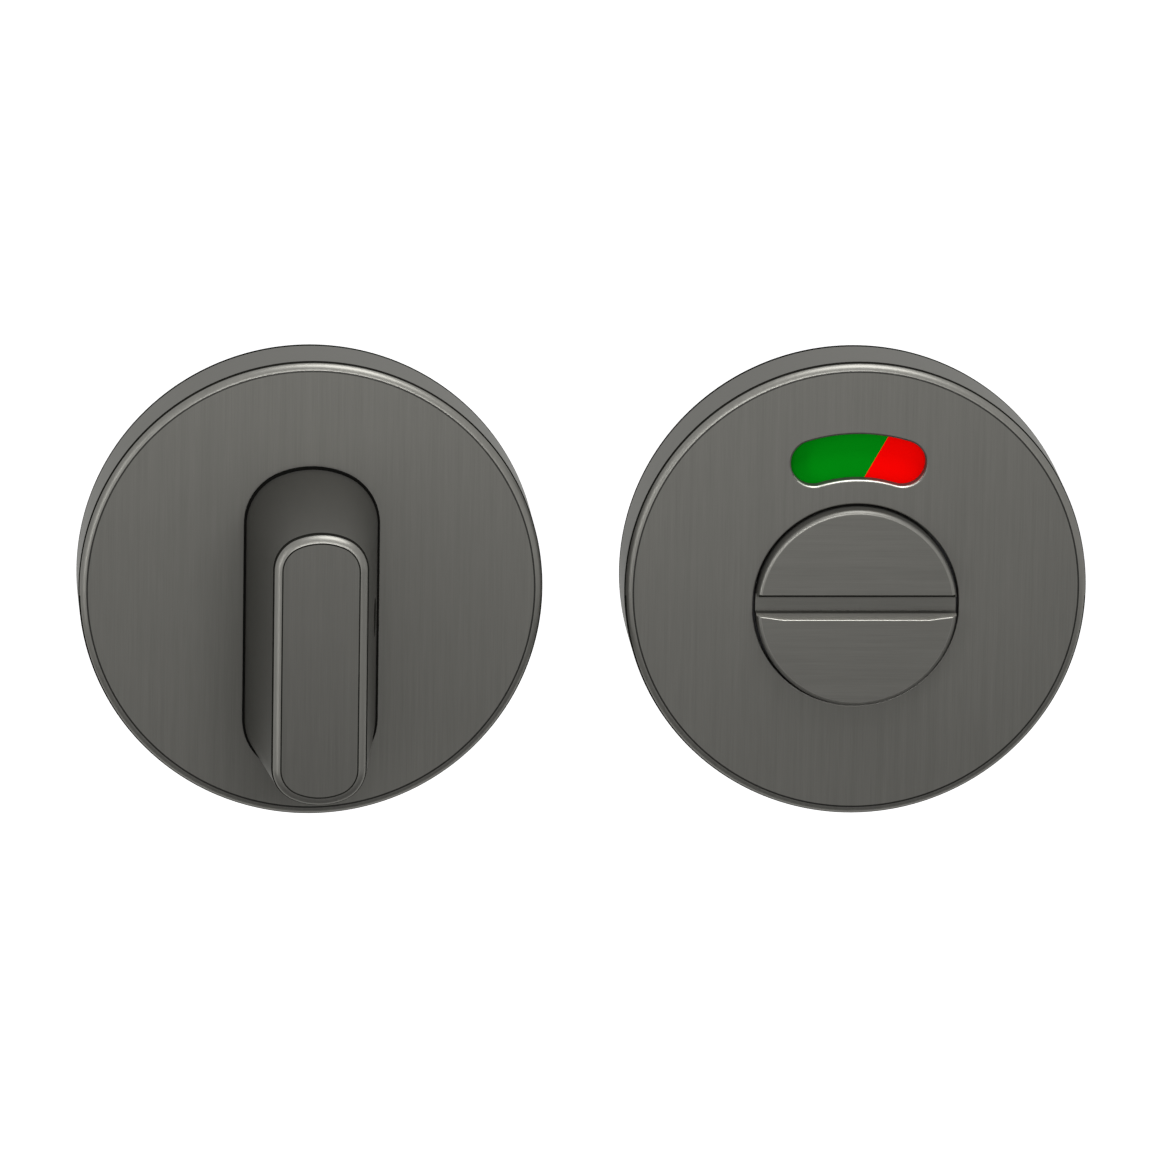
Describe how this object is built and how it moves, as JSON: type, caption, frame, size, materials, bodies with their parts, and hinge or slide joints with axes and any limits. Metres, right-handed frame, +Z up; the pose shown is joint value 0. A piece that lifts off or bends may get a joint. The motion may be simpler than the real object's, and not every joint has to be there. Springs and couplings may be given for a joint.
{
  "type": "bathroom thumb turn lock",
  "caption": "Round-rose bathroom lock set: tapered thumb turn for the inside, coin-slot release with a green and red indicator window for the outside.",
  "frame": {"origin": "where the thumb turn's axis meets the door's face, midway between the inside rose's through bolts", "axes": "+Y into the door along the spindle, +Z up, fronts face -Y; the outside rose stands 61.2 mm along +X"},
  "size_m": [0.1132, 0.0798, 0.052],
  "materials": {
    "satin_graphite": "brushed satin, dark graphite coating",
    "cast_zinc": "as cast",
    "bearing_plastic": "natural, matt",
    "black_glide": "moulded, matt black",
    "spring_steel": "oiled spring steel",
    "plated_steel": "bright zinc plate",
    "indicator_carrier": "matt",
    "green_field": "matt, saturated green",
    "red_field": "matt, saturated red"
  },
  "bodies": {
    "roses": {"turn_cover": "satin_graphite", "turn_base_plate": "cast_zinc", "turn_bush": "bearing_plastic", "through_bolts": "plated_steel", "release_cover": "satin_graphite", "release_base_plate": "cast_zinc", "release_bush": "bearing_plastic", "threaded_posts": "plated_steel", "detent_ball": "plated_steel", "detent_spring": "spring_steel"},
    "turn": {"thumb_turn": "satin_graphite", "turn_glide_pad": "black_glide", "turn_spindle": "plated_steel", "turn_grub_screw": "spring_steel", "turn_washer": "bearing_plastic", "turn_retaining_ring": "spring_steel"},
    "release": {"release_disc": "satin_graphite", "indicator_disc": "indicator_carrier", "indicator_green": "green_field", "indicator_red": "red_field", "release_washer": "bearing_plastic", "release_retaining_ring": "spring_steel"}
  },
  "joints": [
    {"name": "turn_hinge", "type": "hinge", "parent": "roses", "child": "turn", "pos_m": [0, 0, 0], "axis": [0, 1, 0], "range_deg": [0, 90]},
    {"name": "release_hinge", "type": "hinge", "parent": "roses", "child": "release", "pos_m": [0.0612, 0, 0], "axis": [0, -1, 0], "range_deg": [0, 90]}
  ],
  "couplings": [
    {"joint": "release_hinge", "follows": "turn_hinge", "ratio": 1}
  ]
}
